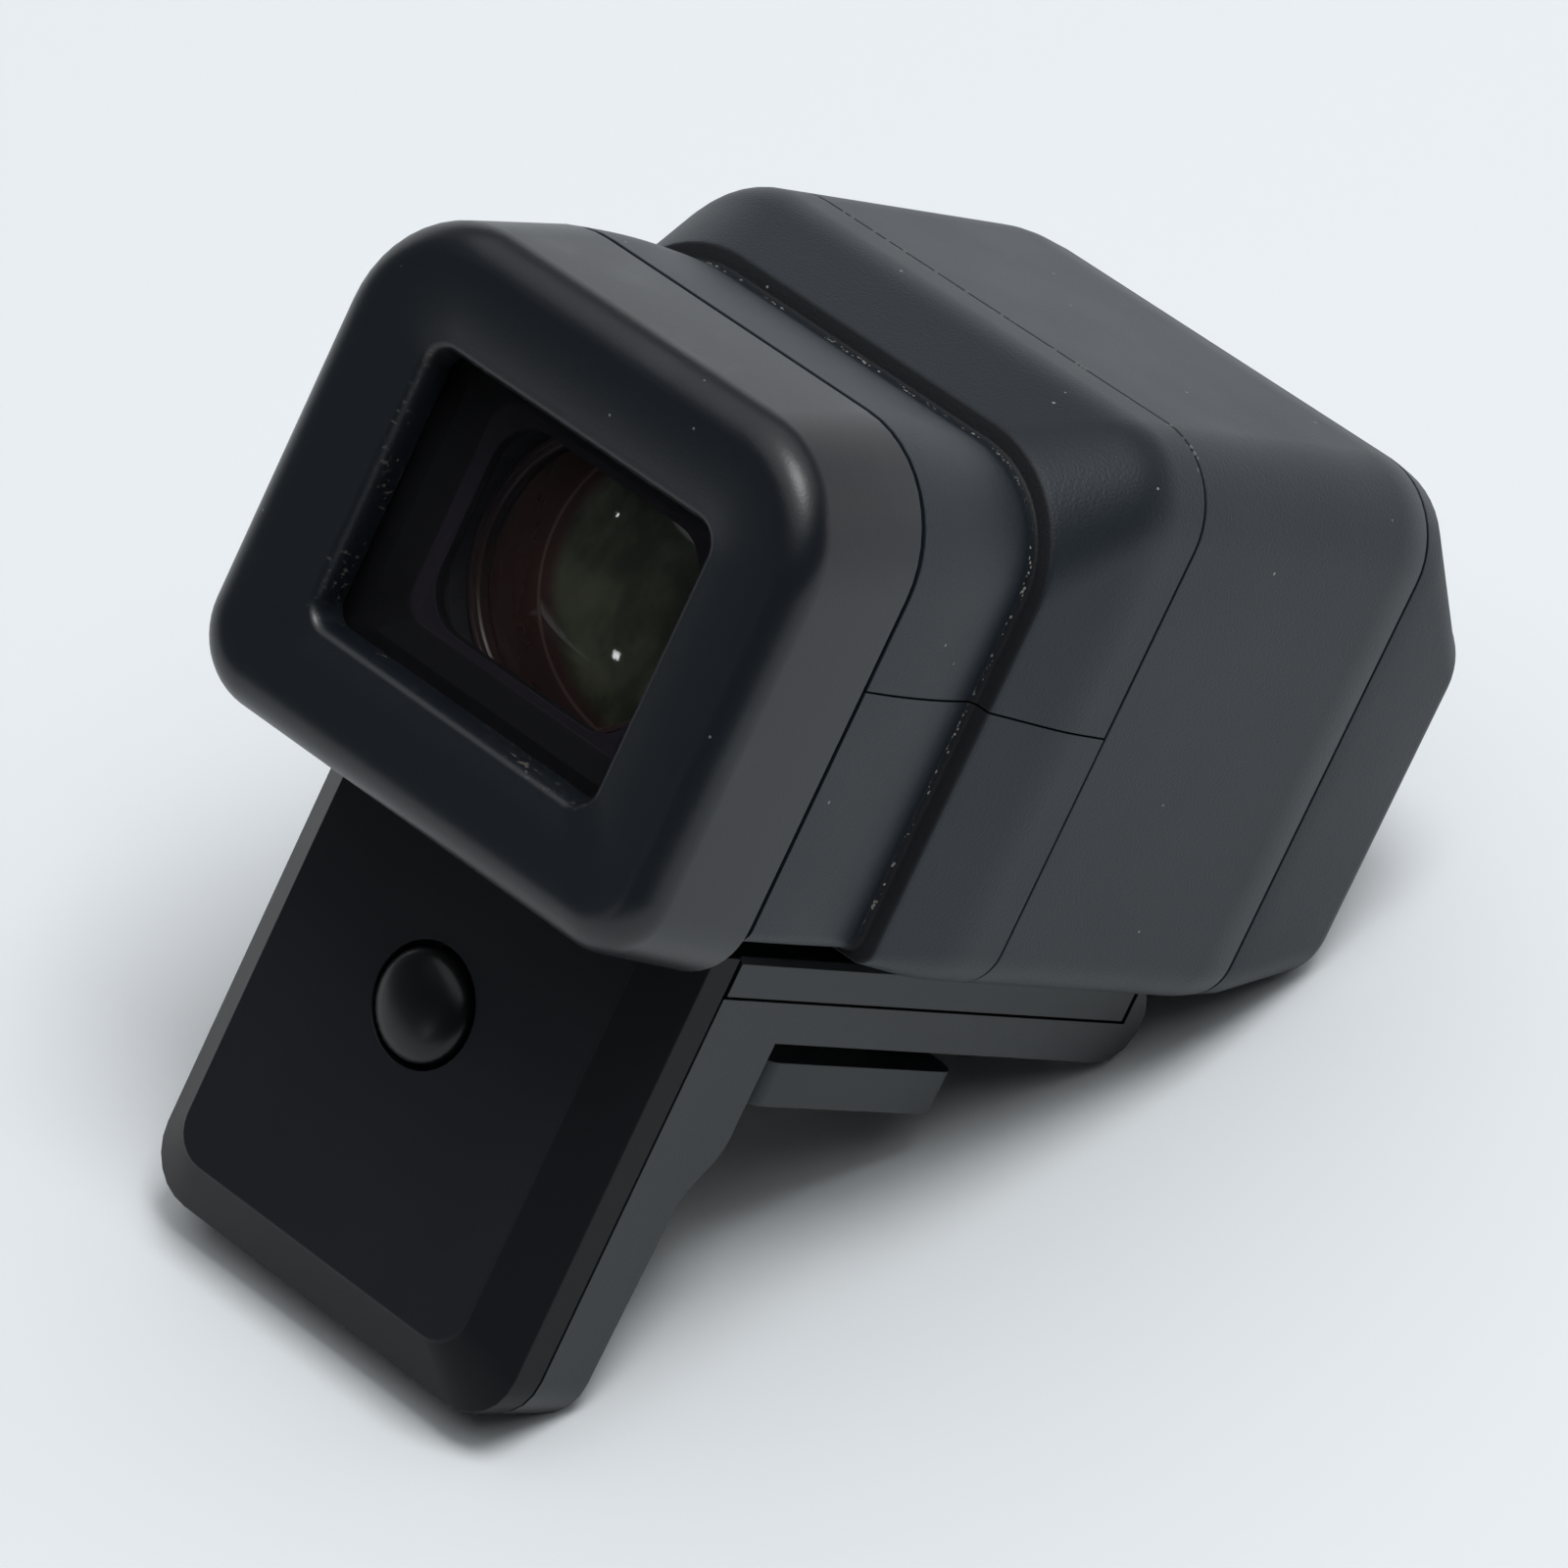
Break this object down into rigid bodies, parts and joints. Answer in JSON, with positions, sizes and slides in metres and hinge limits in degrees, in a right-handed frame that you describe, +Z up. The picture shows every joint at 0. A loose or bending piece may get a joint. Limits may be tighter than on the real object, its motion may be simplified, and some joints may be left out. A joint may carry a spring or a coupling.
{
  "type": "electronic viewfinder",
  "caption": "Clip-on electronic viewfinder: a tilting eyepiece head with a rubber eyecup on a hot shoe foot, with a plug-in leg behind the camera.",
  "frame": {"origin": "centre of the shoe foot's underside", "axes": "+Y towards the scene being pictured, +Z up, +X to the right of someone looking through the eyepiece"},
  "size_m": [0.0268, 0.0477, 0.046],
  "materials": {
    "shell_charcoal": "fine-grained charcoal housing plastic",
    "leg_black": "satin near-black moulding",
    "rubber": "soft blue-charcoal rubber",
    "inner_black": "dead black inner moulding",
    "black_metal": "black painted metal",
    "steel": "plain steel",
    "glass": "coated optical glass",
    "display": "dark display face",
    "board": "green circuit board"
  },
  "bodies": {
    "base": {"base_shell": "leg_black", "base_plate": "black_metal", "leg_front": "leg_black", "leg_board": "board", "button_dome": "rubber", "plug_sleeve": "steel", "plug_core": "inner_black", "shoe_foot": "black_metal", "foot_screw_1": "steel", "foot_screw_2": "steel", "foot_screw_3": "steel", "foot_screw_4": "steel", "leg_screw_1": "steel", "leg_screw_2": "steel", "hinge_shaft": "steel", "hinge_washer_left": "steel", "hinge_washer_right": "steel"},
    "head": {"hinge_bracket": "black_metal", "bracket_screw_1": "steel", "bracket_screw_2": "steel", "bracket_screw_3": "steel", "bracket_screw_4": "steel", "rear_housing_upper": "shell_charcoal", "rear_housing_lower": "shell_charcoal", "main_housing": "shell_charcoal", "front_cap": "shell_charcoal", "eyecup": "rubber", "eyepiece_frame": "inner_black", "eyepiece_window": "glass", "lens_barrel": "inner_black", "display_holder": "inner_black", "display_panel": "display", "display_board": "board", "display_flex": "inner_black", "main_board": "board"},
    "button": {"push_button": "leg_black"},
    "dial": {"dioptre_dial": "shell_charcoal", "dial_hub": "steel"},
    "carrier": {"lens_carrier": "inner_black", "eye_lens": "glass", "inner_lens": "glass"}
  },
  "joints": [
    {"name": "head_tilt", "type": "hinge", "parent": "base", "child": "head", "pos_m": [0, 0.0141, 0.00516], "axis": [-1, 0, 0], "range_deg": [0, 90]},
    {"name": "button_press", "type": "slide", "parent": "base", "child": "button", "axis": [0, 1, 0], "range_m": [0, 0.0004], "stiffness_N_per_m": 400, "springref_m": -0.002, "deforming": ["button_dome"]},
    {"name": "dioptre_turn", "type": "hinge", "parent": "head", "child": "dial", "pos_m": [-0.0122, -0.0123, 0.0142], "axis": [-1, 0, 0], "range_deg": [-60, 60]},
    {"name": "lens_slide", "type": "slide", "parent": "head", "child": "carrier", "axis": [0, 1, 0], "range_m": [-0.00103, 0.00103]}
  ],
  "couplings": [
    {"joint": "dioptre_turn", "follows": "lens_slide", "rad_per_m": 1010}
  ]
}
